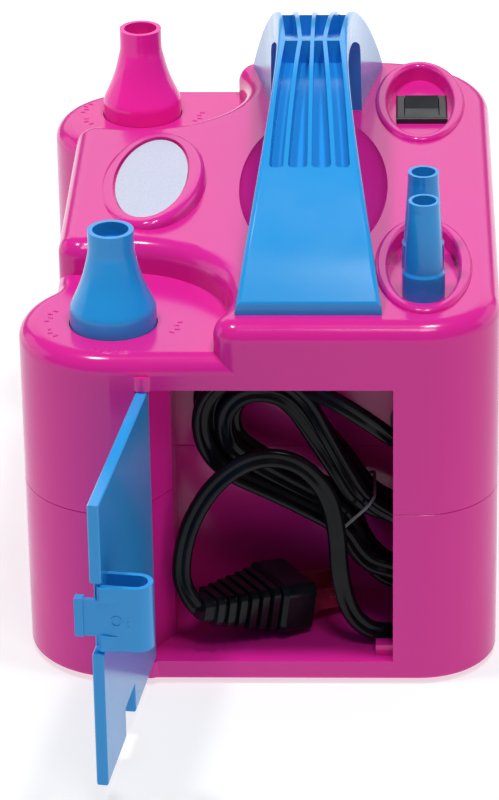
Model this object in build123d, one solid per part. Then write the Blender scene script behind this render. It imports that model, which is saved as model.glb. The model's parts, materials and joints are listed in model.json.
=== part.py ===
from build123d import *
import math
import os

# Mains-powered balloon inflator. Millimetres, +Z up, front face towards -Y.
# The origin is the centre of the body's footprint, on the plane under the rubber feet.

# Body
HALF_WIDTH = 72.0
HALF_LENGTH = 104.9
FOOT_DROP = 1.5
BODY_TOP = 120.6
PLATFORM_TOP = 110.2
SEAM = 58.5
SEAM_GROOVE = 0.35
WALL = 2.4
TOP_ROUND = 5.5
FRONT_CORNER = 24.0
REAR_CORNER = 36.0
WAIST_X = -62.5
LOBE_X = -43.2
LOBE_Y = 76.1
LOBE_R = 28.8
STEP_R = 34.8
SLOP = 0.3

# Air nozzles, each on its own platform
NOZZLE_X = -43.3
NOZZLE_Y = (-79.5, 82.4)
NOZZLE_COLLAR_R = 13.0
NOZZLE_TIP_R = 6.9
NOZZLE_TIP_Z = 140.5
FLANGE_R = 18.0
FLANGE_LOW = PLATFORM_TOP - WALL - SLOP - 1.5
STEM_R = 8.0
RUNNING = 0.06

# Ovals on the deck: the switch recess and the store for the slim nozzles
OVAL_X = 49.3
SWITCH_Y = 65.8
STORE_Y = -62.5
OVAL_A = 10.8
OVAL_B = 29.6
BEAD = 3.9
BEAD_RISE = 1.3
BEAD_ROUND = 1.25
RECESS_FLOOR = 116.2

# Handle
HANDLE_X = 15.3
HANDLE_TOP = 168.9
HANDLE_FOOT_Y = 97.0
HANDLE_FOOT_W = 21.6
HANDLE_FOOT_THICK = 4.0
HANDLE_MID_W = 11.0
GRIP_Y = 59.0
GRIP_THICK = 9.4
LEG_RISE = 24.0
SLOT_START = 62.2
SLOT_DEPTH = 7.4
CROSS_BAR = 1.0
HANDLE_EDGE = 1.6

# Cord compartment and its door
OPEN_LEFT = -35.8
OPEN_RIGHT = 40.2
OPEN_LOW = 7.8
OPEN_HIGH = 99.9
CEILING = 100.2
BAY_BACK = -60.0
BAY_RIGHT = 56.0
BAY_WALL = 1.8
DOOR_THICK = 3.4
DOOR_EDGE = 0.35
DOOR_WIDTH = 73.3
DOOR_OPEN = 97.9
HINGE_X = -33.6
HINGE_Y = -HALF_LENGTH + DOOR_THICK / 2
PIN_R = 1.3
LATCH_Z = 63.2
LATCH_H = 20.4

# Blower, on a vertical axis
FAN_X = 19.0
FAN_Y = 24.0
SCROLL_R = 46.0
SCROLL_LOW = 60.0
SCROLL_HIGH = 86.0
IMPELLER_R = 40.0
SHAFT_R = 3.0
DUCT_LOW = 64.4
DUCT_HIGH = 86.0
DUCT_HALF = 12.6
DUCT_WALL = 1.6
DUCT_GASKET_X = NOZZLE_X + DUCT_HALF

# Cord
CORD_D = 4.8
TAIL = [(50, -86, 24), (45, -92, 14), (35, -94, 11.5), (27, -94, 18), (24, -93, 31), (23.4, -92.5, 46),
        (20.5, -92, 60), (11.5, -92, 70), (-0.5, -92, 71.5), (-12, -92, 64), (-20, -92.5, 52),
        (-24, -94, 39), (-24, -96.5, 28), (-19, -97, 22)]
LEAD = [(46, -73, 68), (46, -81, 68.5), (41, -87, 74), (33, -88, 81), (23, -86, 87), (11, -80, 90)]

# Places shared by several sub-parts
ROCKER_X = 49.9
ROCKER_Y = 67.9
ROCKER_TILT = 8.0
ROCKER_PIVOT = RECESS_FLOOR - 1.5
SLIM_Y = (-73.2, -52.0)
FEET = [(-50, -82), (48, -84), (-50, 80), (42, 76)]
SCREW_POSTS = [(64, -58), (-62.5, -62), (-62.5, 62), (64, 62), (2, 94)]
HANDLE_POSTS = (-86.0, 86.0)
PLUG_AT = (-19, -97, 22)
PLUG_DIR = (0.825, 0.54, -0.159)
PLUG_SIDE = (0.54, -0.825, 0)
PLUG_HEAD = 35.0
BLADE_LONG = 17.0
GLAND_AT = (46.0, 68.0)
VENT_ROWS = 7


def at(x, y, z):
    return Pos(x, y, z)


def tube(outer, inner, low, high, x=0.0, y=0.0):
    """A plain ring on a vertical axis."""
    body = Cylinder(outer, high - low) - Cylinder(inner, high - low)
    return at(x, y, (low + high) / 2) * body


def rod(radius, low, high, x=0.0, y=0.0):
    return at(x, y, (low + high) / 2) * Cylinder(radius, high - low)


def block(x0, x1, y0, y1, z0, z1):
    """A box from its six faces."""
    centre = at((x0 + x1) / 2, (y0 + y1) / 2, (z0 + z1) / 2)
    return centre * Box(x1 - x0, y1 - y0, z1 - z0)


def prism(sketch, low, high):
    return extrude(at(0, 0, low) * sketch, amount=high - low)


def near(shape, x, y, reach=1.0):
    """The sketch's vertices within reach of a point in plan."""
    return [v for v in shape.vertices() if math.hypot(v.X - x, v.Y - y) < reach]


# ---- Body shells ----

def plan(inset):
    """The body's outline from above, moved inwards by inset."""
    front = -HALF_LENGTH + inset
    rear = HALF_LENGTH - inset
    right = HALF_WIDTH - inset
    left = WAIST_X + inset
    lobe = LOBE_R - inset
    main = at((LOBE_X + right) / 2, 0, 0) * Rectangle(right - LOBE_X, rear - front)
    side = at((left + LOBE_X) / 2, 0, 0) * Rectangle(LOBE_X - left, 2 * LOBE_Y)
    outline = main + side
    for y in (-LOBE_Y, LOBE_Y):
        outline += at(LOBE_X, y, 0) * Circle(lobe)
    outline = fillet(near(outline, right, front), FRONT_CORNER - inset)
    outline = fillet(near(outline, right, rear), REAR_CORNER - inset)
    dip = math.sqrt(lobe**2 - (LOBE_X - left) ** 2)
    for y in (-LOBE_Y + dip, LOBE_Y - dip):
        outline = fillet(near(outline, left, y), 10.0 + inset)
    return outline


def deck_plan(inset):
    """The outline of the raised deck: a round bay is left clear at each nozzle."""
    front = -HALF_LENGTH + inset
    rear = HALF_LENGTH - inset
    right = HALF_WIDTH - inset
    left = WAIST_X + inset
    outline = at((left + right) / 2, 0, 0) * Rectangle(right - left, rear - front)
    outline = fillet(near(outline, right, front), FRONT_CORNER - inset)
    outline = fillet(near(outline, right, rear), REAR_CORNER - inset)
    bay = STEP_R + inset
    for y in NOZZLE_Y:
        outline -= at(NOZZLE_X, y, 0) * Circle(bay)
        outline -= at(NOZZLE_X - bay / 2, y + math.copysign(bay / 2, y), 0) * Rectangle(bay, bay)
    for y, edge in zip(NOZZLE_Y, (front, rear)):
        along_edge = NOZZLE_X + math.sqrt(bay**2 - (edge - y) ** 2)
        along_waist = abs(y) - math.sqrt(bay**2 - (left - NOZZLE_X) ** 2)
        outline = fillet(near(outline, along_edge, edge), 7.0 - inset)
        outline = fillet(near(outline, left, math.copysign(along_waist, y)), 7.0 - inset)
    return outline


def rounded_top(sketch, low, high, radius):
    solid = prism(sketch, low, high)
    return fillet(solid.faces().sort_by(Axis.Z)[-1].edges(), radius)


def scoop(extra):
    """The finger hollow under the handle: the lower half of a flattened ball."""
    bowl = scale(Sphere(1.0), by=(23.4 + extra, 57.3 + extra, 7.5 + extra))
    return at(HANDLE_X, -2.0, BODY_TOP + 0.5) * bowl


def oval(y, grow, low, high):
    return prism(at(OVAL_X, y, 0) * Ellipse(OVAL_A + grow, OVAL_B + grow), low, high)


def label_frame(grow, low, high):
    """A slab of the oval label boss, square to its tilted face."""
    slab = prism(Ellipse(14.4 + grow, 33.6 + grow), low, high)
    return Pos(-35.6, 0, BODY_TOP + 0.6) * Rot(0, -8, 0) * slab


def deck_details(shell):
    """Ovals, label boss and scoop on top of the deck."""
    for y in (SWITCH_Y, STORE_Y):
        bead = oval(y, BEAD, BODY_TOP - 2, BODY_TOP + BEAD_RISE) - oval(y, 0, BODY_TOP - 2, BODY_TOP + 2)
        bead = fillet(bead.faces().sort_by(Axis.Z)[-1].edges(), BEAD_ROUND)
        shell = shell + bead - oval(y, 0, RECESS_FLOOR, BODY_TOP + 1)
    boss = label_frame(2.4, -3.5, 1.8)
    boss = fillet(boss.faces().sort_by(Axis.Z)[-1].edges(), 2.2)
    shell += boss
    return shell - label_frame(-2.2, 0.2, 4)


def bay_plan(grow):
    """The cord compartment from above."""
    left = OPEN_LEFT - grow
    jog = -26.5 - grow
    corners = [(left, -HALF_LENGTH), (BAY_RIGHT + grow, -HALF_LENGTH), (BAY_RIGHT + grow, BAY_BACK + grow),
               (jog, BAY_BACK + grow), (jog, -88.0), (left, -102.4)]
    return make_face(Polyline(*corners, close=True))


def hinge_boss(low, high):
    return rod(3.0, low, high, HINGE_X, HINGE_Y)


def lower_housing():
    outer = prism(plan(0), FOOT_DROP, SEAM)
    outer = fillet(outer.faces().sort_by(Axis.Z)[0].edges(), 1.2)
    outer = chamfer(outer.faces().sort_by(Axis.Z)[-1].edges(), SEAM_GROOVE)
    shell = outer - prism(plan(WALL), FOOT_DROP + WALL, SEAM)
    shell += prism(bay_plan(BAY_WALL) & plan(1.0), FOOT_DROP + 1, SEAM - 0.2)
    shell -= prism(bay_plan(0) & plan(WALL), OPEN_LOW, SEAM)
    shell -= block(OPEN_LEFT, OPEN_RIGHT, -HALF_LENGTH - 1, -HALF_LENGTH + WALL + 0.1, OPEN_LOW, SEAM)
    shell += hinge_boss(FOOT_DROP + 1, OPEN_LOW)
    shell += block(35.0, OPEN_RIGHT + 1, -101.2, -97.0, OPEN_LOW - 1, OPEN_LOW + 3.6)
    shell -= rod(PIN_R + RUNNING, OPEN_LOW - 4, OPEN_LOW, HINGE_X, HINGE_Y)
    for x, y in SCREW_POSTS:
        post = tube(4.0, 1.7, FOOT_DROP + 1, SEAM - 0.2, x, y)
        shell += post & prism(plan(1.0), 0, SEAM)
        shell -= rod(1.7, 0, SEAM, x, y)
        shell -= rod(3.2, 0, FOOT_DROP + 3.0, x, y)
        shell += tube(4.4, 1.7, FOOT_DROP + 3.0, FOOT_DROP + 5.0, x, y) & prism(plan(1.0), 0, SEAM)
    for x, y in FEET:
        shell += rod(7.4, FOOT_DROP + 1, FOOT_DROP + 3.6, x, y)
        shell -= rod(6.0, 0, FOOT_DROP + 1.6, x, y)
    for row in range(VENT_ROWS):
        y = 66.0 + 3.8 * row
        shell -= block(-16.0, 30.0, y, y + 1.9, 0, 6.0)
    return shell


def upper_housing():
    outer = rounded_top(plan(0), SEAM, PLATFORM_TOP, TOP_ROUND)
    outer += rounded_top(deck_plan(0), SEAM + 20, BODY_TOP, TOP_ROUND)
    inner = prism(plan(WALL), SEAM, PLATFORM_TOP - WALL)
    inner += prism(deck_plan(WALL), SEAM + 22, BODY_TOP - WALL)
    inner -= scoop(WALL)
    shell = deck_details(outer) - inner + label_floor()
    shell -= scoop(0)
    for y in (SWITCH_Y, STORE_Y):
        shell += cup_wall(y)
    shell += prism(bay_plan(BAY_WALL) & plan(1.0), SEAM, CEILING + BAY_WALL)
    shell -= prism(bay_plan(0) & plan(WALL), SEAM, CEILING)
    shell -= block(OPEN_LEFT, OPEN_RIGHT, -HALF_LENGTH - 1, -HALF_LENGTH + WALL + 0.1, SEAM, OPEN_HIGH)
    shell += hinge_boss(OPEN_HIGH, OPEN_HIGH + 4.6)
    shell -= rod(PIN_R + RUNNING, OPEN_HIGH, OPEN_HIGH + 3.4, HINGE_X, HINGE_Y)
    for y in NOZZLE_Y:
        shell -= rod(NOZZLE_COLLAR_R + SLOP, 100, PLATFORM_TOP + 1, NOZZLE_X, y)
    for y in SLIM_Y:
        shell += rod(3.3, RECESS_FLOOR, RECESS_FLOOR + 14.0, OVAL_X, y)
    shell -= block(ROCKER_X - 7.2, ROCKER_X + 7.2, ROCKER_Y - 9.0, ROCKER_Y + 9.0, 100, RECESS_FLOOR + 1)
    shell -= gland_hole()
    for x, y in SCREW_POSTS:
        ceiling = (BODY_TOP if x > 0 else PLATFORM_TOP) - WALL + 0.4
        post = tube(3.6, 1.3, SEAM + 0.2, ceiling, x, y)
        shell += post & prism(plan(1.0), 0, BODY_TOP)
    for y in HANDLE_POSTS:
        for side in (-9.0, 9.0):
            shell -= rod(1.7, 100, BODY_TOP + 1, HANDLE_X + side, y)
    return shell


def label_floor():
    return label_frame(1.0, -3.4, 0.2)


def cup_wall(y):
    floor = oval(y, WALL, RECESS_FLOOR - WALL, RECESS_FLOOR)
    wall = oval(y, WALL, RECESS_FLOOR, BODY_TOP - 1) - oval(y, 0, RECESS_FLOOR, BODY_TOP)
    return (floor + wall) & prism(plan(1.0), 90, BODY_TOP)


def gland_hole():
    return Pos(GLAND_AT[0], BAY_BACK, GLAND_AT[1]) * Rot(90, 0, 0) * Cylinder(4.6, 12)


# ---- Handle ----

def arch_centre():
    rise = HANDLE_TOP - BODY_TOP - HANDLE_FOOT_THICK
    radius = (HANDLE_FOOT_Y**2 + rise**2) / (2 * rise)
    return HANDLE_TOP - radius, radius


def side_profile(points):
    """A face in the YZ plane, facing +X."""
    return Plane.YZ * make_face(points)


def handle():
    centre, radius = arch_centre()
    foot = BODY_TOP + HANDLE_FOOT_THICK
    top = ThreePointArc((-HANDLE_FOOT_Y, foot), (0, HANDLE_TOP), (HANDLE_FOOT_Y, foot))
    under = HANDLE_TOP - GRIP_THICK
    leg = BODY_TOP + LEG_RISE
    inner = [Line((HANDLE_FOOT_Y, foot), (HANDLE_FOOT_Y, BODY_TOP)),
             Line((HANDLE_FOOT_Y, BODY_TOP), (GRIP_Y, BODY_TOP)),
             Line((GRIP_Y, BODY_TOP), (GRIP_Y - 3, leg)),
             ThreePointArc((GRIP_Y - 3, leg), (0, under), (3 - GRIP_Y, leg)),
             Line((3 - GRIP_Y, leg), (-GRIP_Y, BODY_TOP)),
             Line((-GRIP_Y, BODY_TOP), (-HANDLE_FOOT_Y, BODY_TOP)),
             Line((-HANDLE_FOOT_Y, BODY_TOP), (-HANDLE_FOOT_Y, foot))]
    side = side_profile([top] + inner)
    side = fillet([v for v in side.vertices() if abs(v.Z - leg) < 0.1], 7.0)
    bridge = extrude(Pos(HANDLE_X - 30, 0, 0) * side, amount=60, dir=(1, 0, 0))
    waist = prism(handle_plan(), BODY_TOP, HANDLE_TOP + 1)
    body = bridge & waist
    crest = body.faces().filter_by(GeomType.CYLINDER).sort_by(SortBy.AREA)[-1]
    body = fillet(crest.edges(), HANDLE_EDGE)
    body -= grip_slots(centre, radius)
    for y in HANDLE_POSTS:
        for shift in (-9.0, 9.0):
            body -= rod(1.3, BODY_TOP, BODY_TOP + 9, HANDLE_X + shift, y)
    return body


def handle_plan():
    left = ThreePointArc((HANDLE_X - HANDLE_FOOT_W, -HANDLE_FOOT_Y), (HANDLE_X - HANDLE_MID_W, 0),
                         (HANDLE_X - HANDLE_FOOT_W, HANDLE_FOOT_Y))
    right = ThreePointArc((HANDLE_X + HANDLE_FOOT_W, -HANDLE_FOOT_Y), (HANDLE_X + HANDLE_MID_W, 0),
                          (HANDLE_X + HANDLE_FOOT_W, HANDLE_FOOT_Y))
    front = Line(left @ 0, right @ 0)
    rear = Line(left @ 1, right @ 1)
    return make_face([left, right, front, rear])


def grip_slots(centre, radius):
    """Four fanned slots each side of a cross bar, cut to a floor that follows the arch."""
    wide_edges = [(-12.1, -7.8), (-6.5, -0.6), (0.6, 6.5), (7.8, 12.1)]
    slim_edges = [(-8.4, -4.5), (-3.2, -0.6), (0.6, 3.2), (4.5, 8.4)]
    cutters = []
    for wide, slim in zip(wide_edges, slim_edges):
        for way in (-1, 1):
            outline = [(wide[0], SLOT_START), (wide[1], SLOT_START), (slim[1], CROSS_BAR), (slim[0], CROSS_BAR)]
            corners = [(HANDLE_X + x, way * y) for x, y in outline]
            face = make_face(Polyline(*corners, close=True))
            ends = [v for v in face.vertices() if abs(v.Y) > SLOT_START - 1]
            cutters.append(prism(fillet(ends, 1.2), BODY_TOP, HANDLE_TOP + 5))
    floor = Pos(HANDLE_X, 0, centre) * Rot(0, 90, 0) * Cylinder(radius - SLOT_DEPTH, 80)
    return Part() + [cutter - floor for cutter in cutters]


def handle_screws():
    """Four screws that hold the handle from inside the housing."""
    parts = []
    for y in HANDLE_POSTS:
        for side in (-9.0, 9.0):
            x = HANDLE_X + side
            low = BODY_TOP - WALL
            parts.append(rod(3.0, low - 2.0, low, x, y) + rod(1.25, low, BODY_TOP + 8, x, y))
    return Compound(children=parts)


# ---- Door and latch ----

def door_place(shape):
    """From the closed position to the open one, about the hinge axis."""
    return Pos(HINGE_X, HINGE_Y, 0) * Rot(0, 0, -DOOR_OPEN) * shape


def cord_door():
    """Drawn shut, with its hinge axis on the origin, then swung open."""
    low = OPEN_LOW + SLOP
    high = OPEN_HIGH - SLOP
    half = DOOR_THICK / 2
    leaf = block(0, DOOR_WIDTH, -half, half, low, high) + rod(half, low, high)
    leaf -= block(32.0, 46.0, -half - 1, half + 1, low - 1, low + 9.5)
    leaf -= block(DOOR_WIDTH - 5.2, DOOR_WIDTH + 1, -half - 1, half + 1, LATCH_Z - 11.6, LATCH_Z + 11.6)
    faces = leaf.faces().filter_by(Axis.Y).sort_by(Axis.Y)
    leaf = chamfer(faces[0].edges() + faces[-1].edges(), DOOR_EDGE)
    leaf += rod(PIN_R, low - 3.0, high + 3.0)
    return door_place(leaf)


def door_latch():
    """A U-shaped spring clip: root leg on the door, bend inside, free leg with barbs and a thumb tab."""
    half = DOOR_THICK / 2
    outer = DOOR_WIDTH - 0.5
    leg = 1.5
    low = LATCH_Z - LATCH_H / 2
    high = LATCH_Z + LATCH_H / 2
    root = outer - 9.6
    bend = half + 9.0
    mid = (outer + root) / 2
    big = (outer - root) / 2
    clip = block(root, root + leg, half, bend, low, high) + block(outer - leg, outer, 0.2, bend, low, high)
    turn = tube(big, big - leg, low, high, mid, bend)
    clip += turn & block(root, outer, bend, bend + 10, low, high)
    clip += block(outer - leg, outer, -half - 2.2, 0.2, LATCH_Z - 5.8, LATCH_Z + 5.8)
    clip += block(outer - leg - 1.0, outer + 0.3, -half - 4.8, -half - 2.2, LATCH_Z - 6.1, LATCH_Z + 6.1)
    for z in (low, high - 4.8):
        wedge = make_face(Polyline((outer, 1.2), (outer + 1.1, 1.2), (outer, 6.2), close=True))
        clip += prism(wedge, z, z + 4.8)
    return door_place(clip)


# ---- Nozzles and valves ----

def bell_profile(base):
    """Half section of a push nozzle, from its collar up to the tip and back down the bore."""
    tip = NOZZLE_TIP_Z
    curve = Spline((NOZZLE_COLLAR_R, 114.6), (12.3, 117.2), (10.6, 121.0), (8.7, 126.2), (7.4, 131.5),
                   (NOZZLE_TIP_R, tip - 4.0), tangents=[(0, 1), (0, 1)])
    rim = [Line((NOZZLE_TIP_R, tip - 4.0), (NOZZLE_TIP_R, tip)), Line((NOZZLE_TIP_R, tip), (5.4, tip)),
           Line((5.4, tip), (5.4, tip - 4.6)), Line((5.4, tip - 4.6), (4.6, tip - 4.6)),
           Line((4.6, tip - 4.6), (4.6, tip - 6.6)), Line((4.6, tip - 6.6), (6.4, 118.0)),
           Line((6.4, 118.0), (6.4, base)), Line((6.4, base), (STEM_R, base)),
           Line((STEM_R, base), (STEM_R, FLANGE_LOW)), Line((STEM_R, FLANGE_LOW), (FLANGE_R, FLANGE_LOW)),
           Line((FLANGE_R, FLANGE_LOW), (FLANGE_R, FLANGE_LOW + 1.5)),
           Line((FLANGE_R, FLANGE_LOW + 1.5), (NOZZLE_COLLAR_R, FLANGE_LOW + 1.5)),
           Line((NOZZLE_COLLAR_R, FLANGE_LOW + 1.5), (NOZZLE_COLLAR_R, 114.6))]
    return Plane.XZ * make_face([curve] + rim)


def push_nozzle(y):
    base = DUCT_HIGH - DUCT_WALL - 0.6
    body = revolve(bell_profile(base), Axis.Z)
    for turn in range(4):
        window = Rot(0, 0, 45 + 90 * turn) * block(5.0, 9.0, -2.6, 2.6, base + 0.4, base + 3.4)
        body -= window
    return at(NOZZLE_X, y, 0) * body


def valve_disc(y):
    top = DUCT_HIGH - DUCT_WALL - 0.6
    return rod(10.0, top - 1.8, top, NOZZLE_X, y)


def valve_seat(y):
    """Guide sleeve for the nozzle's stem, on top of the air duct."""
    seat = tube(12.0, STEM_R + RUNNING, DUCT_HIGH, 95.0, NOZZLE_X, y)
    return seat + tube(12.5, STEM_R + RUNNING, DUCT_HIGH, DUCT_HIGH + 2.0, NOZZLE_X, y)


def return_spring(y):
    low = 95.0
    height = FLANGE_LOW - low
    wire = 0.55
    path = Helix(pitch=2.3, height=height - 2 * wire, radius=9.6)
    section = Plane(origin=path @ 0, z_dir=path % 0) * Circle(wire)
    return at(NOZZLE_X, y, low + wire) * sweep(section, path=path)


def push_switch(y):
    low = DUCT_HIGH + 1.5
    body = block(NOZZLE_X - 20.6, NOZZLE_X - 13.5, y - 6.0, y + 6.0, low, 101.8)
    return body - rod(1.8 + RUNNING, 91.0, 103.0, NOZZLE_X - 16.0, y)


def switch_button(y):
    return rod(1.8, 95.0, FLANGE_LOW - 0.1, NOZZLE_X - 16.0, y)


def slim_nozzle(y):
    """A hollow taper that lifts off its peg."""
    low = RECESS_FLOOR
    high = 146.9
    points = [(3.36, low), (6.4, low), (6.4, low + 7.6), (5.9, low + 8.6), (4.65, high - 3), (4.65, high),
              (3.6, high), (3.36, high - 6)]
    shell = revolve(Plane.XZ * make_face(Polyline(*points, close=True)), Axis.Z)
    return at(OVAL_X, y, 0) * shell


# ---- Switch and label ----

def switch_bezel():
    bezel = block(ROCKER_X - 8.4, ROCKER_X + 8.4, ROCKER_Y - 10.0, ROCKER_Y + 10.0,
                  RECESS_FLOOR, RECESS_FLOOR + 2.0)
    bezel = fillet(bezel.faces().sort_by(Axis.Z)[-1].edges(), 0.7)
    bezel += block(ROCKER_X - 7.1, ROCKER_X + 7.1, ROCKER_Y - 8.9, ROCKER_Y + 8.9, 98.0, RECESS_FLOOR)
    well = block(ROCKER_X - 5.8, ROCKER_X + 5.8, ROCKER_Y - 7.2, ROCKER_Y + 7.2, 106.0, RECESS_FLOOR + 3)
    return bezel - well - rocker_pins(6.8, PIN_R + RUNNING)


def rocker_pins(reach, radius):
    return at(ROCKER_X, ROCKER_Y, ROCKER_PIVOT) * Rot(0, 90, 0) * Cylinder(radius, 2 * reach)


def switch_rocker():
    """A paddle with a shallow V top that tips about its middle."""
    pivot = ROCKER_PIVOT
    low = pivot - 3.5
    top = RECESS_FLOOR + 2.7
    dip = RECESS_FLOOR + 1.5
    outline = Polyline((-6.5, top), (-6.2, low + 2), (-3, low), (3, low), (6.2, low + 2), (6.5, top), (0, dip),
                       close=True)
    paddle = extrude(Plane.YZ * make_face(outline), amount=5.5, both=True)
    paddle = Pos(ROCKER_X, ROCKER_Y, pivot) * Rot(ROCKER_TILT, 0, 0) * Pos(0, 0, -pivot) * paddle
    return paddle + rocker_pins(6.5, PIN_R)


def label_plate():
    return label_frame(-2.9, 0.2, 1.0)


# ---- Blower ----

def outlet(grow, x0, x1):
    return block(x0, x1, FAN_Y + 26.0 - grow, FAN_Y + 42.0 + grow, 66.0 - grow, 80.0 + grow)


def blower_scroll():
    low = SCROLL_LOW
    body = rod(SCROLL_R, low, 84.0, FAN_X, FAN_Y) + outlet(1.6, DUCT_GASKET_X + 2.0, FAN_X)
    body -= rod(SCROLL_R - 1.8, low + 2.5, 85.0, FAN_X, FAN_Y)
    body += rod(10.5, low - 2.4, low, FAN_X, FAN_Y)
    body -= rod(8.0, low - 3.0, low + 3.0, FAN_X, FAN_Y)
    inside = rod(SCROLL_R - 1.8, low + 2.5, 85.0, FAN_X, FAN_Y)
    return body - outlet(0, DUCT_GASKET_X, FAN_X) - inside


def blower_cover():
    cover = rod(SCROLL_R, 84.0, SCROLL_HIGH, FAN_X, FAN_Y) + rod(18.0, 84.0, SCROLL_HIGH + 3.0, FAN_X, FAN_Y)
    return cover - rod(15.0, 80.0, SCROLL_HIGH + 4.0, FAN_X, FAN_Y)


def impeller():
    """Back plate, hub and twelve swept blades under a shroud."""
    low = 65.5
    wheel = rod(IMPELLER_R, low, low + 1.5) + rod(7.0, low, low + 12.0)
    wheel += tube(IMPELLER_R, 17.0, low + 13.5, low + 14.8)
    for blade in range(12):
        arc = ThreePointArc((13.0, 0.0), (26.0, 4.5), (39.5, 15.0))
        sheet = make_face(offset(arc, amount=0.7, side=Side.BOTH))
        wheel += Rot(0, 0, 30.0 * blade) * prism(sheet, low + 1.0, low + 13.8) & rod(IMPELLER_R, low, low + 15)
    wheel -= rod(SHAFT_R, low - 1, low + 20)
    return at(FAN_X, FAN_Y, 0) * wheel


def impeller_nut():
    nut = prism(RegularPolygon(5.5, 6), 77.5, 81.5) - rod(SHAFT_R, 70, 90)
    return at(FAN_X, FAN_Y, 0) * nut


def armature_core():
    """Slotted lamination stack."""
    core = rod(17.5, 35.0, 55.0)
    for slot in range(11):
        core -= Rot(0, 0, 360.0 * slot / 11) * block(11.0, 18.0, -1.0, 1.0, 34.0, 56.0)
    return at(FAN_X, FAN_Y, 0) * (core - rod(SHAFT_R, 30, 60))


def armature_winding():
    ends = tube(14.0, SHAFT_R, 32.5, 35.0, FAN_X, FAN_Y)
    top = tube(14.0, SHAFT_R, 55.0, 57.0, FAN_X, FAN_Y)
    return Compound(children=[ends, top])


def commutator():
    body = tube(8.5, SHAFT_R, 20.0, 31.0)
    for bar in range(22):
        body -= Rot(0, 0, 360.0 * bar / 22) * block(7.9, 9.0, -0.2, 0.2, 21.0, 32.0)
    return at(FAN_X, FAN_Y, 0) * body


def motor_shaft():
    return rod(SHAFT_R, 10.5, 83.0, FAN_X, FAN_Y)


def stator_core():
    core = rod(30.0, 35.0, 55.0) & block(-30, 30, -26, 26, 35.0, 55.0)
    return at(FAN_X, FAN_Y, 0) * (core - rod(18.5, 34, 56))


def field_coils():
    parts = []
    for low, high in ((30.0, 35.0), (55.0, 59.5)):
        ring = tube(26.0, 19.5, low, high)
        for way in (-1, 1):
            half = ring & block(*sorted((way * 3.0, way * 30.0)), -30, 30, low, high)
            parts.append(at(FAN_X, FAN_Y, 0) * half)
    return Compound(children=parts)


def motor_frame():
    """Cup that holds the stator and the lower bearing, with four cooling windows."""
    frame = rod(33.0, 9.0, SCROLL_LOW - 0.4) - rod(31.0, 11.5, SCROLL_LOW)
    frame += rod(11.0, 9.0, 17.0)
    for turn in range(4):
        frame -= Rot(0, 0, 90.0 * turn) * block(26.0, 36.0, -11.0, 11.0, 15.0, 32.0)
    for way in (-1, 1):
        frame += block(-12, 12, *sorted((way * 26.0, way * 31.5)), 36.0, 54.0)
    frame -= rod(8.0, 12.0, 18.0) + rod(SHAFT_R + 1.0, 8.0, 13.0)
    return at(FAN_X, FAN_Y, 0) * frame


def bearing(low, high):
    return tube(8.0, SHAFT_R + 0.02, low, high, FAN_X, FAN_Y)


def brush_holders():
    parts = []
    for way in (-1, 1):
        sleeve = block(*sorted((way * 11.5, way * 30.0)), -4.5, 4.5, 21.5, 29.5)
        sleeve -= block(*sorted((way * 9.0, way * 29.0)), -3.1, 3.1, 23.0, 28.0)
        parts.append(at(FAN_X, FAN_Y, 0) * Rot(0, 0, 45) * sleeve)
    return Compound(children=parts)


def carbon_brushes():
    parts = []
    for way in (-1, 1):
        brush = block(*sorted((way * 8.6, way * 21.0)), -3.0, 3.0, 23.1, 27.9)
        parts.append(at(FAN_X, FAN_Y, 0) * Rot(0, 0, 45) * brush)
    return Compound(children=parts)


def motor_cushion():
    return tube(24.0, 12.0, FOOT_DROP + WALL, 9.0, FAN_X, FAN_Y)


def air_duct():
    """Pressure duct along the left side, with a port under each nozzle and one from the blower."""
    outer = block(NOZZLE_X - DUCT_HALF, NOZZLE_X + DUCT_HALF, -91.0, 94.0, DUCT_LOW, DUCT_HIGH)
    inner = block(NOZZLE_X - DUCT_HALF + DUCT_WALL, NOZZLE_X + DUCT_HALF - DUCT_WALL, -89.8, 92.8,
                  DUCT_LOW + DUCT_WALL, DUCT_HIGH - DUCT_WALL)
    duct = outer - inner
    for y in NOZZLE_Y:
        duct -= rod(STEM_R + SLOP, DUCT_HIGH - 3, DUCT_HIGH + 1, NOZZLE_X, y)
        duct += block(NOZZLE_X - 20.6, NOZZLE_X - DUCT_HALF, y - 6.0, y + 6.0, DUCT_HIGH - 2.0, DUCT_HIGH + 1.5)
    return duct - outlet(0, NOZZLE_X, FAN_X)


def duct_gasket():
    x0 = DUCT_GASKET_X
    return outlet(1.6, x0, x0 + 2.0) - outlet(0, x0 - 1, x0 + 3)


def intake_filter():
    return block(-18.0, 32.0, 63.0, 88.5, FOOT_DROP + WALL, FOOT_DROP + WALL + 6.0)


# ---- Electrical ----

def capacitor():
    body = block(-6.0, 14.0, -34.0, -24.0, FOOT_DROP + WALL, 20.0)
    return fillet(body.edges().filter_by(Axis.Z), 1.0)


def terminal_block():
    body = block(22.0, 46.0, -42.0, -30.0, FOOT_DROP + WALL, 15.0)
    for x in (26.0, 34.0, 42.0):
        body -= rod(1.8, 9.0, 16.0, x, -36.0)
    return body


def cord_clamp():
    return block(38.0, 54.0, BAY_BACK + BAY_WALL, -50.0, 61.0, 75.0) - gland_hole()


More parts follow.
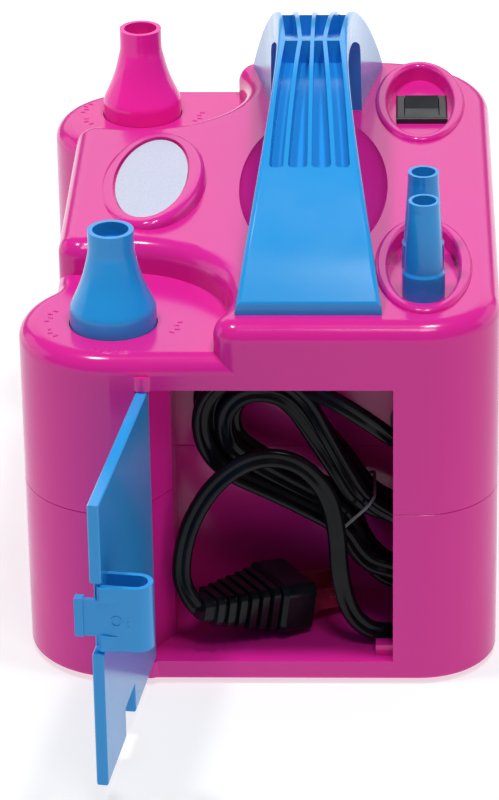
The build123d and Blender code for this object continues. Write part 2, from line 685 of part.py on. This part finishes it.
def wires():
    """Leads from the terminal block to the rocker, the motor and the two push switches."""
    routes = [[(42, -36, 15), (42, -36, 36), (56, -38, 70), (62, -22, 93), (60, 28, 93),
               (53, 62, 86), (50, 66, 97.0)],
              [(26, -36, 15), (26, -36, 26), (14, -22, 32), (9, -7.4, 27)],
              [(34, -36, 15), (34, -36, 30), (-2, -42, 44), (-20, -38, 88), (-42, -46, 97),
               (-56, -58, 97), (-58, -73.2, 97)]]
    parts = []
    for route in routes:
        path, tightest = smooth(route)
        print("wire, tightest bend radius", round(tightest, 1))
        section = Plane(origin=path @ 0, z_dir=path % 0) * Circle(1.1)
        parts.append(sweep(section, path=path))
    return Compound(children=parts)


def smooth(points):
    """Straight runs joined by arcs as large as each pair of runs allows."""
    spots = [Vector(*p) for p in points]
    runs = [b - a for a, b in zip(spots, spots[1:])]
    radii = []
    for first, second in zip(runs, runs[1:]):
        half_turn = math.radians(first.get_angle(second)) / 2
        radii.append(0.45 * min(first.length, second.length) / math.tan(half_turn))
    return FilletPolyline(*spots, radius=radii), min(radii)


# ---- Cord, plug and what holds them ----

def cord_gland():
    """Tapered strain relief with a flange on each side of the compartment's back wall."""
    x, z = GLAND_AT
    turn = Pos(x, BAY_BACK, z) * Rot(90, 0, 0)
    flange = turn * Pos(0, 0, 0.8) * Cylinder(6.6, 1.6)
    neck = turn * Pos(0, 0, -1.0) * Cylinder(4.6, 2.0)
    taper = turn * Pos(0, 0, 7.0) * Cone(4.6, 3.2, 12.0)
    return flange + neck + taper


def cord_tube(route):
    path, tightest = smooth(route)
    print("cord, tightest bend radius", round(tightest, 1), "length", round(path.length))
    section = Plane(origin=path @ 0, z_dir=path % 0) * Circle(CORD_D / 2)
    return sweep(section, path=path)


def hank_outline():
    """Turns fan out into one wide loop at the upper left and are drawn together at the tie."""
    wide = Pos(-1, 76.5) * Circle(20.5)
    neck = Pos(28, 46) * Circle(8.5)
    tail = Pos(43.5, 31) * Circle(11.5)
    upper = make_hull(wide.edges() + neck.edges())
    lower = make_hull(neck.edges() + tail.edges())
    return upper + lower


def cord_hank():
    return extrude(Plane.XZ.offset(64.5) * hank_outline(), amount=19.5)


def cord_tie():
    """A thin wire loop round the narrow part of the hank."""
    across, deep = 9.4, 10.7
    loop = RectangleRounded(2 * across, 2 * deep, 4.0)
    seat = Plane(origin=(28, -74.25, 46), x_dir=(0.7071, 0, 0.7071), z_dir=(0.7071, 0, -0.7071))
    path = seat * loop.wire()
    section = Plane(origin=path @ 0, z_dir=path % 0) * Circle(0.5)
    return sweep(section, path=path)


def plug_plane():
    """The plug lies on its broad side, with its blades towards the compartment's back wall."""
    return Plane(origin=PLUG_AT, x_dir=PLUG_SIDE, z_dir=PLUG_DIR)


def plug_body():
    """Ribbed grip that widens in steps into a block-shaped head."""
    core = loft([RectangleRounded(8.5, 7.5, 2.6), Pos(0, 0, 24) * RectangleRounded(16.0, 12.0, 3.5)])
    head = extrude(Pos(0, 0, 24) * RectangleRounded(23, 16, 3.2), amount=PLUG_HEAD - 24)
    body = core + chamfer(head.faces().sort_by(Axis.Z)[0].edges(), 1.2)
    for rib in range(6):
        plate = RectangleRounded(12.4 + 1.4 * rib, 9.6 + 0.9 * rib, 2.4)
        body += extrude(Pos(0, 0, 3.4 + 3.5 * rib) * plate, amount=2.3)
    return plug_plane().location * body


def plug_blades():
    parts = []
    for side in (-6.35, 6.35):
        blade = Pos(side, 0, PLUG_HEAD + BLADE_LONG / 2) * Box(1.5, 6.3, BLADE_LONG)
        parts.append(plug_plane().location * blade)
    return Compound(children=parts)


# ---- Feet and screws ----

def rubber_feet():
    return Compound(children=[rod(5.9, 0, FOOT_DROP + 1.6, x, y) for x, y in FEET])


def housing_screws():
    parts = []
    for x, y in SCREW_POSTS:
        head = rod(3.0, FOOT_DROP + 0.8, FOOT_DROP + 3.0, x, y)
        shank = rod(1.25, FOOT_DROP + 3.0, SEAM + 12, x, y)
        parts.append(head + shank)
    return Compound(children=parts)


NODES = {
    "lower_housing": lower_housing,
    "upper_housing": upper_housing,
    "handle": handle,
    "handle_screws": handle_screws,
    "cord_door": cord_door,
    "door_latch": door_latch,
    "front_nozzle": lambda: push_nozzle(NOZZLE_Y[0]),
    "rear_nozzle": lambda: push_nozzle(NOZZLE_Y[1]),
    "front_valve_disc": lambda: valve_disc(NOZZLE_Y[0]),
    "rear_valve_disc": lambda: valve_disc(NOZZLE_Y[1]),
    "front_valve_seat": lambda: valve_seat(NOZZLE_Y[0]),
    "rear_valve_seat": lambda: valve_seat(NOZZLE_Y[1]),
    "front_return_spring": lambda: return_spring(NOZZLE_Y[0]),
    "rear_return_spring": lambda: return_spring(NOZZLE_Y[1]),
    "front_push_switch": lambda: push_switch(NOZZLE_Y[0]),
    "rear_push_switch": lambda: push_switch(NOZZLE_Y[1]),
    "front_switch_button": lambda: switch_button(NOZZLE_Y[0]),
    "rear_switch_button": lambda: switch_button(NOZZLE_Y[1]),
    "slim_nozzle_front": lambda: slim_nozzle(SLIM_Y[0]),
    "slim_nozzle_rear": lambda: slim_nozzle(SLIM_Y[1]),
    "switch_bezel": switch_bezel,
    "switch_rocker": switch_rocker,
    "label_plate": label_plate,
    "blower_scroll": blower_scroll,
    "blower_cover": blower_cover,
    "impeller": impeller,
    "impeller_nut": impeller_nut,
    "motor_shaft": motor_shaft,
    "armature_core": armature_core,
    "armature_winding": armature_winding,
    "commutator": commutator,
    "stator_core": stator_core,
    "field_coils": field_coils,
    "motor_frame": motor_frame,
    "lower_bearing": lambda: bearing(12.0, 17.0),
    "upper_bearing": lambda: bearing(SCROLL_LOW - 2.4, SCROLL_LOW + 2.4),
    "brush_holders": brush_holders,
    "carbon_brushes": carbon_brushes,
    "motor_cushion": motor_cushion,
    "air_duct": air_duct,
    "duct_gasket": duct_gasket,
    "intake_filter": intake_filter,
    "suppression_capacitor": capacitor,
    "terminal_block": terminal_block,
    "cord_clamp": cord_clamp,
    "inner_wires": wires,
    "cord_gland": cord_gland,
    "cord_lead": lambda: cord_tube(LEAD),
    "cord_hank": cord_hank,
    "cord_tail": lambda: cord_tube(TAIL),
    "cord_tie": cord_tie,
    "plug_body": plug_body,
    "plug_blades": plug_blades,
    "rubber_feet": rubber_feet,
    "housing_screws": housing_screws,
}


def main():
    os.makedirs("parts", exist_ok=True)
    for name, make in NODES.items():
        shape = make()
        export_step(shape, os.path.join("parts", name + ".step"))
        print(name, len(shape.solids()), round(shape.volume))


main()
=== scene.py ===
import json
import math

import bmesh
import bpy
from mathutils import Matrix, Vector


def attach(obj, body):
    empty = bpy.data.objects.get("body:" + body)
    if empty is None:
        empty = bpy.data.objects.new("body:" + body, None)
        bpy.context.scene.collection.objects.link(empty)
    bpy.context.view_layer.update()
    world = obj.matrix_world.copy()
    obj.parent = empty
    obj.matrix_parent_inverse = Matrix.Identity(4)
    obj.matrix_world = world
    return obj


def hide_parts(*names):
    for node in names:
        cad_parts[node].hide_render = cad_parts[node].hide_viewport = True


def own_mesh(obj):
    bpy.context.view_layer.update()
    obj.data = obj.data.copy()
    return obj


# Looks of a mains-powered balloon inflator, in metres, in the frame of its CAD model.

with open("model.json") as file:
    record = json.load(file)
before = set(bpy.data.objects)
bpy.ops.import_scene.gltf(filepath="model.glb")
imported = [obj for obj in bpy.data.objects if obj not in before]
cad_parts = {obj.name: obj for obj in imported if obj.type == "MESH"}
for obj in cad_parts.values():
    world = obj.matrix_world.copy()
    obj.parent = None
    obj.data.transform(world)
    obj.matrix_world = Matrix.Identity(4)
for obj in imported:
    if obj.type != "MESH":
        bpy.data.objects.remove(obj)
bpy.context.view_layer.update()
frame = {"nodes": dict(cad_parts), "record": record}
nodes = frame["nodes"]
MM = 0.001


# ---- Camera, floor and lights ----

CAMERA_PLACE = (0.0374, -1.1503, 0.6242)
CAMERA_LENS = 179.2
CAMERA_TURN = 2.162
CAMERA_PITCH = 90 - 26.752
CAMERA_ROLL = -0.957


def make_camera():
    """A long lens, looking down on the front face from slightly right of centre."""
    data = bpy.data.cameras.new("camera")
    data.sensor_width = 36.0
    data.lens = CAMERA_LENS
    data.clip_start = 0.05
    data.clip_end = 20.0
    camera = bpy.data.objects.new("camera", data)
    bpy.context.scene.collection.objects.link(camera)
    turn = Matrix.Rotation(math.radians(CAMERA_TURN), 4, "Z")
    pitch = Matrix.Rotation(math.radians(CAMERA_PITCH), 4, "X")
    roll = Matrix.Rotation(math.radians(CAMERA_ROLL), 4, "Z")
    camera.matrix_world = Matrix.Translation(CAMERA_PLACE) @ turn @ pitch @ roll
    bpy.context.scene.camera = camera


FLOOR_HALF = 6.0
GLOW_NEAR = 0.62
GLOW_FAR = 1.05
GLOW_DEPTH = 0.6


def make_floor():
    mesh = bpy.data.meshes.new("floor")
    half = FLOOR_HALF
    corners = [(-half, -half, 0), (half, -half, 0), (half, half, 0), (-half, half, 0)]
    mesh.from_pydata(corners, [], [(0, 1, 2, 3)])
    floor = bpy.data.objects.new("floor", mesh)
    bpy.context.scene.collection.objects.link(floor)
    paint = bpy.data.materials.new("floor_paper")
    paint.use_nodes = True
    shader = paint.node_tree.nodes["Principled BSDF"]
    shader.inputs["Base Color"].default_value = (0.4, 0.4, 0.41, 1)
    shader.inputs["Roughness"].default_value = 0.9
    shader.inputs["Emission Color"].default_value = (1, 1, 1, 1)
    brighten_rearwards(paint.node_tree, shader)
    mesh.materials.append(paint)


def brighten_rearwards(tree, shader):
    """The paper glows a little more behind the object than in front of it."""
    place = tree.nodes.new("ShaderNodeTexCoord").outputs["Object"]
    split = tree.nodes.new("ShaderNodeSeparateXYZ")
    tree.links.new(place, split.inputs["Vector"])
    span = tree.nodes.new("ShaderNodeMapRange")
    span.interpolation_type = "SMOOTHSTEP"
    span.inputs["From Min"].default_value = 0.0
    span.inputs["From Max"].default_value = GLOW_DEPTH
    span.inputs["To Min"].default_value = GLOW_NEAR
    span.inputs["To Max"].default_value = GLOW_FAR
    tree.links.new(split.outputs["Y"], span.inputs["Value"])
    tree.links.new(span.outputs["Result"], shader.inputs["Emission Strength"])


def softbox(name, place, target, width, height, power):
    data = bpy.data.lights.new(name, "AREA")
    data.shape = "RECTANGLE"
    data.size = width
    data.size_y = height
    data.energy = power
    light = bpy.data.objects.new(name, data)
    bpy.context.scene.collection.objects.link(light)
    light.location = place
    light.rotation_euler = (Vector(target) - Vector(place)).to_track_quat("-Z", "Y").to_euler()


def make_lights():
    world = bpy.data.worlds.new("studio")
    world.use_nodes = True
    world.node_tree.nodes["Background"].inputs["Color"].default_value = (1.0, 1.0, 1.0, 1)
    world.node_tree.nodes["Background"].inputs["Strength"].default_value = 0.12
    bpy.context.scene.world = world
    middle = (0.0, 0.0, 0.08)
    softbox("softbox_left", (-0.34, -0.17, 1.42), middle, 0.12, 0.12, 7.4)
    softbox("softbox_right", (0.26, -0.19, 1.42), middle, 0.12, 0.12, 6.4)
    softbox("back_panel", (0.0, 2.1, 1.15), middle, 3.0, 1.1, 11.0)
    softbox("front_fill", (0.25, -0.75, 1.4), middle, 0.4, 0.4, 4.5)
    softbox("side_left", (-1.5, 0.5, 0.5), middle, 1.4, 1.0, 4.0)
    softbox("side_right", (1.5, 0.7, 0.5), middle, 1.4, 1.0, 3.5)


# ---- Materials ----

class Graph:
    """Short names for building a shader out of nodes."""

    def __init__(self, name):
        self.material = bpy.data.materials.new(name)
        self.material.use_nodes = True
        self.tree = self.material.node_tree
        self.shader = self.tree.nodes["Principled BSDF"]
        self.place = self.tree.nodes.new("ShaderNodeTexCoord").outputs["Object"]

    def noise(self, size, detail=3.0, stretch=(1, 1, 1)):
        """Smooth noise whose features are about size metres across."""
        spread = self.tree.nodes.new("ShaderNodeMapping")
        spread.inputs["Scale"].default_value = stretch
        self.tree.links.new(self.place, spread.inputs["Vector"])
        node = self.tree.nodes.new("ShaderNodeTexNoise")
        node.inputs["Scale"].default_value = 1 / size
        node.inputs["Detail"].default_value = detail
        self.tree.links.new(spread.outputs["Vector"], node.inputs["Vector"])
        return node.outputs["Fac"]

    def cells(self, size):
        node = self.tree.nodes.new("ShaderNodeTexVoronoi")
        node.inputs["Scale"].default_value = 1 / size
        self.tree.links.new(self.place, node.inputs["Vector"])
        return node.outputs["Distance"]

    def colour(self, factor, dark, light, low=0.35, high=0.65):
        """Runs from dark to light as the factor goes from low to high."""
        ramp = self.tree.nodes.new("ShaderNodeValToRGB")
        ramp.color_ramp.elements[0].position = low
        ramp.color_ramp.elements[0].color = (*dark, 1)
        ramp.color_ramp.elements[1].position = high
        ramp.color_ramp.elements[1].color = (*light, 1)
        self.tree.links.new(factor, ramp.inputs["Fac"])
        self.tree.links.new(ramp.outputs["Color"], self.shader.inputs["Base Color"])

    def roughness(self, factor, low, high):
        span = self.tree.nodes.new("ShaderNodeMapRange")
        span.inputs["From Min"].default_value = 0.3
        span.inputs["From Max"].default_value = 0.7
        span.inputs["To Min"].default_value = low
        span.inputs["To Max"].default_value = high
        self.tree.links.new(factor, span.inputs["Value"])
        self.tree.links.new(span.outputs["Result"], self.shader.inputs["Roughness"])

    def bump(self, factor, depth):
        node = self.tree.nodes.new("ShaderNodeBump")
        node.inputs["Strength"].default_value = 1.0
        node.inputs["Distance"].default_value = depth
        self.tree.links.new(factor, node.inputs["Height"])
        self.tree.links.new(node.outputs["Normal"], self.shader.inputs["Normal"])

    def set(self, **values):
        for name, value in values.items():
            self.shader.inputs[name.replace("_", " ")].default_value = value


def darker(colour, share):
    return tuple(c * share for c in colour)


def moulded(name, colour, rough, depth=0.006 * MM):
    """Injection-moulded plastic: faint flow marks in its colour, uneven gloss and a very fine skin."""
    graph = Graph(name)
    graph.colour(graph.noise(30 * MM, 4.0), darker(colour, 0.93), colour)
    graph.roughness(graph.noise(9 * MM, 5.0), rough - 0.05, rough + 0.05)
    graph.bump(graph.noise(0.35 * MM, 2.0), depth)
    return graph.material


def metal(name, colour, rough, size=2 * MM):
    """Worked metal with fine drawn or rolled marks."""
    graph = Graph(name)
    graph.colour(graph.noise(size, 4.0), darker(colour, 0.8), colour)
    graph.roughness(graph.noise(size, 3.0), rough - 0.06, rough + 0.08)
    graph.bump(graph.noise(4 * MM, 1.0), 0.01 * MM)
    graph.set(Metallic=1.0)
    return graph.material


PINK = (0.74, 0.018, 0.315)
# The rear nozzle's pink, brighter than PINK: painted light, the same plastic drawn lighter where it faces
# the lamps.
PAINTED_LIGHT_PINK = (0.96, 0.022, 0.41)
BLUE = (0.021, 0.335, 0.81)


def gloss_plastic(name, colour, shade, rough, dip):
    """Polished moulding: even colour, soft reflections and barely wavy walls."""
    graph = Graph(name)
    graph.colour(graph.noise(60 * MM, 2.0), darker(colour, shade), colour)
    graph.roughness(graph.noise(14 * MM, 2.0), *rough)
    graph.bump(graph.noise(30 * MM, 0.0), dip)
    graph.set(Specular_IOR_Level=0.42)
    return graph.material


def pink_plastic(name, colour):
    return gloss_plastic(name, colour, 0.97, (0.15, 0.19), 0.03 * MM)


def blue_plastic():
    return gloss_plastic("blue_plastic", BLUE, 0.96, (0.16, 0.21), 0.02 * MM)


def cord_pvc():
    """Soft black sleeve with a slight lengthwise drag in its skin."""
    graph = Graph("cord_pvc")
    graph.colour(graph.noise(12 * MM, 4.0), (0.004, 0.0045, 0.006), (0.009, 0.010, 0.013))
    graph.roughness(graph.noise(3 * MM, 4.0), 0.12, 0.18)
    graph.bump(graph.noise(20 * MM, 0.0), 0.03 * MM)
    graph.set(Specular_IOR_Level=0.16)
    return graph.material


def label_film():
    """Pale satin film with a fine pearly fleck."""
    graph = Graph("label_film")
    graph.colour(graph.cells(0.8 * MM), (0.54, 0.57, 0.72), (0.60, 0.63, 0.78), 0.1, 0.7)
    graph.roughness(graph.noise(1.2 * MM, 4.0), 0.34, 0.5)
    graph.bump(graph.cells(0.8 * MM), 0.02 * MM)
    return graph.material


def foam():
    graph = Graph("foam")
    graph.colour(graph.cells(0.9 * MM), (0.012, 0.012, 0.013), (0.09, 0.09, 0.095), 0.1, 0.6)
    graph.bump(graph.cells(0.9 * MM), 0.3 * MM)
    graph.set(Roughness=0.95)
    return graph.material


def lamination_steel():
    """A stack of thin sheets on edge."""
    graph = Graph("lamination_steel")
    stack = graph.noise(1.0 * MM, 1.0, (0.02, 0.02, 1.0))
    graph.colour(stack, (0.10, 0.10, 0.11), (0.34, 0.34, 0.36))
    graph.bump(stack, 0.08 * MM)
    graph.set(Metallic=1.0, Roughness=0.5)
    return graph.material


def copper_wire():
    """Enamelled winding: fine ridges where the turns lie."""
    graph = Graph("copper_wire")
    turns = graph.noise(0.6 * MM, 1.0, (0.3, 0.3, 1.0))
    graph.colour(turns, (0.30, 0.085, 0.02), (0.62, 0.22, 0.06))
    graph.bump(turns, 0.12 * MM)
    graph.set(Metallic=0.85, Roughness=0.32)
    return graph.material


def carbon():
    graph = Graph("carbon")
    graph.colour(graph.noise(0.5 * MM, 5.0), (0.01, 0.01, 0.011), (0.05, 0.05, 0.055))
    graph.bump(graph.noise(0.3 * MM, 4.0), 0.03 * MM)
    graph.set(Roughness=0.6)
    return graph.material


MATERIALS = {
    "pink_plastic": pink_plastic("pink_plastic", PINK),
    "blue_plastic": blue_plastic(),
    "cord_pvc": cord_pvc(),
    "label_film": label_film(),
    "foam": foam(),
    "lamination_steel": lamination_steel(),
    "copper_wire": copper_wire(),
    "carbon": carbon(),
    "black_plastic": moulded("black_plastic", (0.016, 0.017, 0.019), 0.38, depth=0.02 * MM),
    "grey_plastic": moulded("grey_plastic", (0.20, 0.21, 0.23), 0.5, depth=0.02 * MM),
    "rubber": moulded("rubber", (0.022, 0.022, 0.023), 0.75, depth=0.05 * MM),
    "capacitor_film": moulded("capacitor_film", (0.55, 0.30, 0.03), 0.35),
    "wire_sleeve": moulded("wire_sleeve", (0.42, 0.02, 0.015), 0.4),
    "steel": metal("steel", (0.62, 0.63, 0.65), 0.28),
    "brass": metal("brass", (0.70, 0.54, 0.26), 0.26, size=12 * MM),
}


def paint_frame():
    """Every CAD node takes the material of its slot in the record; the rear nozzle, the same plastic as the
    housing, takes a brighter copy of the pink as painted light for the light falling on it.
    """
    for part in frame["record"]["subparts"]:
        mesh = nodes[part["node"]].data
        mesh.materials.clear()
        mesh.materials.append(MATERIALS[part["material_slot"]])
    # Painted light: the rear nozzle gets a brighter copy of the body pink, not a different plastic.
    nodes["rear_nozzle"].data.materials[0] = pink_plastic("painted_light_pink_nozzle", PAINTED_LIGHT_PINK)


def full_turn(sides):
    """The angles of a number of points spread evenly round a circle."""
    return [2 * math.pi * k / sides for k in range(sides)]


def circle(radius, sides):
    return [(radius * math.cos(a), radius * math.sin(a)) for a in full_turn(sides)]


def join_rings(mesh, lower, upper):
    """A band of faces between two rings of points."""
    for k in range(len(lower)):
        n = (k + 1) % len(lower)
        mesh.faces.new((lower[k], lower[n], upper[n], upper[k]))


# ---- Cord ----

CORD_WIDE = 5.8 * MM
CORD_THICK = 3.1 * MM
SWEEP_STEP = 1.2 * MM
LEAD = [(46, -73, 68), (46, -81, 68.5), (41, -87, 74), (33, -88, 81), (23, -86, 87), (11, -80, 90)]
TAIL = [(40, -84.5, 28.5), (47.5, -85.5, 26.4), (52, -87, 21.9), (52, -89, 15.8), (47.7, -91, 11.4),
        (41.3, -92.8, 11.3), (33.5, -94, 11.9), (27, -94, 18.5), (24, -93, 31), (23.4, -92.5, 46),
        (20.5, -92, 60), (11.5, -92, 70), (-0.5, -92, 71.5), (-12, -92, 64), (-20, -92.5, 52),
        (-24, -94, 39), (-24, -96.5, 28), (-19, -97, 22)]
HANK_TURNS = 6
HANK_FOOT = Vector((43.5, 0, 31))
HANK_ALONG = Vector((-44.5, 0, 45.5)).normalized()
HANK_ACROSS = Vector((45.5, 0, 44.5)).normalized()
HANK_REAR = -67.0
HANK_STEP = -2.75
FOLD = 9.1
ROUNDING = 0.41
FOOT_REACH = 8.0
CROWN_WIDE = 15.5
LEAD_JOINS = 7
TAIL_LEAVES = 2


def hank_half(turn):
    """Half of one turn's outline, from the foot to the crown: (along, across) in millimetres."""
    wide = 1.0 - 0.11 * ((turn * 2) % 5)
    neck = 1.8 + 1.15 * ((turn * 3) % 6)
    crown = 81.0 - 2.6 * ((turn * 2) % 5)
    bend = CROWN_WIDE * wide
    return [(-FOOT_REACH, ROUNDING * FOLD), ((1 - ROUNDING) * FOLD - FOOT_REACH, FOLD), (FOOT_REACH, FOLD),
            (21.6, neck), (34.0, neck + 3.4), (46.0, 12.5 * wide), (60.0, 17.6 * wide),
            (crown - (1 - ROUNDING) * bend, bend), (crown, ROUNDING * bend)]


def hank_points():
    """Turns run up the upper side, over the crown and back down the lower side.

    The first turn starts where the lead comes in, and the last ends where the tail leaves.
    """
    points = []
    for turn in range(HANK_TURNS):
        half = hank_half(turn)
        loop = half + [(along, -across) for along, across in reversed(half)]
        if turn == 0:
            loop = loop[LEAD_JOINS:]
        if turn == HANK_TURNS - 1:
            loop = loop[:-TAIL_LEAVES]
        for count, (along, across) in enumerate(loop):
            spot = HANK_FOOT + HANK_ALONG * along + HANK_ACROSS * across
            drift = HANK_REAR + HANK_STEP * (turn + count / len(loop))
            points.append((spot.x, drift, spot.z))
    return points


def smooth_line(points):
    """The points of a smooth line that a chain of control points gives, in metres."""
    curve = bpy.data.curves.new("route", "CURVE")
    curve.dimensions = "3D"
    curve.resolution_u = 16
    spline = curve.splines.new("NURBS")
    spline.points.add(len(points) - 1)
    for spot, place in zip(spline.points, points):
        spot.co = (*[c * MM for c in place], 1)
    spline.order_u = 3
    spline.use_endpoint_u = True
    holder = bpy.data.objects.new("route", curve)
    bpy.context.scene.collection.objects.link(holder)
    bpy.context.view_layer.update()
    mesh = bpy.data.meshes.new_from_object(holder)
    line = [v.co.copy() for v in mesh.vertices]
    bpy.data.objects.remove(holder)
    bpy.data.meshes.remove(mesh)
    bpy.data.curves.remove(curve)
    return line


def resample(line, step):
    """The same line with its points evenly spaced."""
    spots = [line[0]]
    spare = 0.0
    for a, b in zip(line, line[1:]):
        run = (b - a).length
        while spare + step <= run:
            spare += step
            spots.append(a.lerp(b, spare / run))
        spare -= run
    if (spots[-1] - line[-1]).length < step / 2:
        spots.pop()
    spots.append(line[-1])
    return spots


def twin_section(count=9):
    """Section of a flat twin lead: two round cores side by side with a groove between them."""
    radius = CORD_THICK / 2
    offset = CORD_WIDE / 2 - radius
    gap = math.acos(min(1.0, offset * 0.93 / radius))
    section = []
    for side in (1, -1):
        for k in range(count):
            angle = (math.pi - gap) * (2 * k / (count - 1) - 1)
            across = offset + radius * math.cos(angle)
            section.append((side * across, side * radius * math.sin(angle)))
    return section


def strand_frames(line, lean):
    """A wide direction at each point, turned slowly towards the lean asked for there."""
    frames = []
    wide = Vector((1, 0, 0))
    depth = Vector((0, -0.89, 0.45))
    for k, spot in enumerate(line):
        ahead = (line[min(k + 1, len(line) - 1)] - line[max(k - 1, 0)]).normalized()
        wide = (wide - ahead * wide.dot(ahead)).normalized()
        side = depth - ahead * depth.dot(ahead)
        if side.length > 0.5:
            side.normalize()
            across = ahead.cross(side)
            angle = math.radians(lean(k / (len(line) - 1)))
            goal = side * math.cos(angle) + across * math.sin(angle)
            if goal.dot(wide) < 0:
                goal = -goal
            wide = wide.lerp(goal, 0.12).normalized()
            wide = (wide - ahead * wide.dot(ahead)).normalized()
        frames.append((wide, ahead.cross(wide)))
    return frames


def swept(name, line, frames, section):
    """A closed tube with a given section along a line."""
    mesh = bmesh.new()
    rings = []
    for spot, (wide, thick) in zip(line, frames):
        rings.append([mesh.verts.new(spot + wide * u + thick * v) for u, v in section])
    for a, b in zip(rings, rings[1:]):
        join_rings(mesh, a, b)
    mesh.faces.new(list(reversed(rings[0])))
    mesh.faces.new(rings[-1])
    return finish_mesh(name, mesh)


def finish_mesh(name, mesh, smooth=True):
    bmesh.ops.recalc_face_normals(mesh, faces=mesh.faces)
    for face in mesh.faces:
        face.smooth = smooth
    data = bpy.data.meshes.new(name)
    mesh.to_mesh(data)
    mesh.free()
    piece = bpy.data.objects.new(name, data)
    bpy.context.scene.collection.objects.link(piece)
    return piece


def dress(piece, slot, body="housing"):
    """Gives a piece its material and the body that it rides on."""
    piece.data.materials.clear()
    piece.data.materials.append(MATERIALS[slot])
    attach(piece, body)
    return piece


def cord_lean(share):
    """Degrees between the lead's wide side and the view from the front, along its length."""
    return 62 + 20 * math.sin(31 * share) if share < 0.86 else 88


def make_cord():
    route = LEAD + hank_points() + TAIL
    line = resample(smooth_line(route), SWEEP_STEP)
    piece = swept("mains_lead", line, strand_frames(line, cord_lean), twin_section())
    dress(piece, "cord_pvc")
    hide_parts("cord_lead", "cord_hank", "cord_tail")


# ---- Return springs ----

NOZZLE_SPOTS = ((-43.3, -79.5), (-43.3, 82.4))
SPRING_LOW = 95.0
SPRING_HIGH = 106.0
SPRING_RADIUS = 9.6
SPRING_PITCH = 2.3
SPRING_WIRE = 0.55
STEPS_PER_TURN = 48


def return_spring(node, x, y):
    """A coil under a push nozzle's flange, built at one fixed length and riding on the housing."""
    turns = (SPRING_HIGH - SPRING_LOW - 2 * SPRING_WIRE) / SPRING_PITCH
    steps = round(STEPS_PER_TURN * turns)
    line = []
    frames = []
    for k in range(steps + 1):
        angle = 2 * math.pi * turns * k / steps
        out = Vector((math.cos(angle), math.sin(angle), 0))
        rise = SPRING_LOW + SPRING_WIRE + SPRING_PITCH * turns * k / steps
        line.append((Vector((x, y, rise)) + out * SPRING_RADIUS) * MM)
        frames.append((out, Vector((0, 0, 1))))
    section = circle(SPRING_WIRE * MM, 10)
    piece = dress(swept(node + "_coil", line, frames, section), "steel")
    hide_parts(node)
    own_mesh(piece)


def make_springs():
    for end, (x, y) in zip(("front", "rear"), NOZZLE_SPOTS):
        return_spring(end + "_return_spring", x, y)


# ---- Small moulded marks ----

PLATFORM_TOP = 110.2
MARK_RADIUS = 19.6
HINGE = Vector((-33.6, -103.2, 0))
DOOR_OPEN = 97.9
LATCH_FACE = 72.8
LATCH_Z = 63.2
MARK_Z = LATCH_Z - 0.6
MARK_SINK = 0.25 * MM
TICK_STEP = 7.0
DOT_STEP = 1.5


def puck(mesh, place, radius, high, sides):
    """A low round boss with a softened rim, added to a mesh; place is a matrix whose Z points outwards."""
    boss(mesh, place, circle(radius, sides), high)


def boss(mesh, place, outline, high):
    """A low raised shape with a softened rim; place is a matrix whose Z points outwards."""
    soft = 1 - 0.5 * high / max(math.hypot(u, v) for u, v in outline)
    rings = []
    for share, rise in ((1.0, -MARK_SINK), (1.0, high * 0.55), (soft, high)):
        rings.append([mesh.verts.new(place @ Vector((u * share, v * share, rise))) for u, v in outline])
    for a, b in zip(rings, rings[1:]):
        join_rings(mesh, a, b)
    mesh.faces.new(rings[-1])
    mesh.faces.new(list(reversed(rings[0])))


def ring_boss(mesh, place, radius, width, high, sides=28):
    """A low raised ring."""
    section = ((-width / 2, -MARK_SINK), (width / 2, -MARK_SINK), (width / 2, high * 0.6),
               (width / 4, high), (-width / 4, high), (-width / 2, high * 0.6))
    rings = []
    for a in full_turn(sides):
        out = Vector((math.cos(a), math.sin(a), 0))
        rings.append([mesh.verts.new(place @ (out * (radius + u) + Vector((0, 0, v)))) for u, v in section])
    for count, ring in enumerate(rings):
        after = rings[(count + 1) % sides]
        for k in range(len(section)):
            n = (k + 1) % len(section)
            mesh.faces.new((ring[k], after[k], after[n], ring[n]))


def pill(length, width, sides=8):
    """Outline of a short rounded bar, along X."""
    outline = []
    for end, start in ((1, -math.pi / 2), (-1, math.pi / 2)):
        for k in range(sides + 1):
            angle = start + math.pi * k / sides
            along = end * (length - width) / 2 + width / 2 * math.cos(angle)
            outline.append((along, width / 2 * math.sin(angle)))
    return outline


def platform_marks():
    """Arcs of short raised ticks on the deck around each push nozzle."""
    mesh = bmesh.new()
    for x, y in NOZZLE_SPOTS:
        for start, count in ((-104, 4), (-22, 4), (158, 4), (196, 3)):
            for k in range(count):
                turn = Matrix.Rotation(math.radians(start + TICK_STEP * k), 4, "Z")
                reach = MARK_RADIUS + (0.4 if k % 2 else -0.4)
                place = Matrix.Translation(Vector((x, y, PLATFORM_TOP)) * MM) @ turn
                place = place @ Matrix.Translation((reach * MM, 0, 0))
                boss(mesh, place, pill(1.7 * MM, 0.6 * MM), 0.13 * MM)
    dress(finish_mesh("platform_marks", mesh), "pink_plastic")


def latch_marks():
    """A raised ring and a row of three dots on the outer face of the latch."""
    mesh = bmesh.new()
    opened = Matrix.Translation(HINGE * MM) @ Matrix.Rotation(math.radians(-DOOR_OPEN), 4, "Z")
    outward = Matrix.Rotation(math.radians(90), 4, "Y")
    ring = opened @ Matrix.Translation(Vector((LATCH_FACE, 5.6, MARK_Z)) * MM) @ outward
    ring_boss(mesh, ring, 1.5 * MM, 0.5 * MM, 0.25 * MM)
    for k in (-1, 0, 1):
        spot = Vector((LATCH_FACE, 9.0, MARK_Z + DOT_STEP * k)) * MM
        puck(mesh, opened @ Matrix.Translation(spot) @ outward, 0.35 * MM, 0.2 * MM, 12)
    dress(finish_mesh("latch_marks", mesh, smooth=False), "blue_plastic", "latch")


bpy.context.scene.view_settings.view_transform = "Standard"
make_camera()
make_floor()
make_lights()
paint_frame()
make_cord()
make_springs()
platform_marks()
latch_marks()
